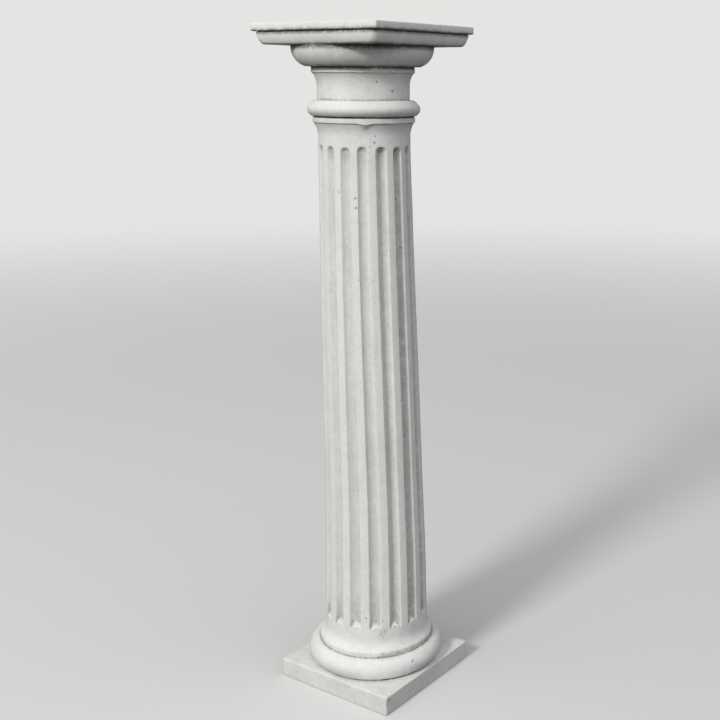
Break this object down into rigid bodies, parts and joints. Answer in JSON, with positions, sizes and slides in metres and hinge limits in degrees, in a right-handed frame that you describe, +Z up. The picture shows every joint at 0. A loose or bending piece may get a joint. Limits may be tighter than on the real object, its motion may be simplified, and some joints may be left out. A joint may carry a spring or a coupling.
{
  "type": "doric column",
  "caption": "Free-standing cast-stone garden column with a square plinth, fluted tapering shaft, neck ring and square flat top for a pot, bust or sundial.",
  "frame": {"origin": "centre of the square underside of the plinth, where the column stands", "axes": "+Z up along the shaft; the sides of the plinth and of the square top face +X, -X, +Y and -Y"},
  "size_m": [0.234, 0.234, 1.05],
  "materials": {
    "cast_stone": "matt pale cast stone, lightly weathered, with small air holes and grey dirt in the creases"
  },
  "bodies": {
    "root": {"column": "cast_stone"}
  },
  "joints": []
}
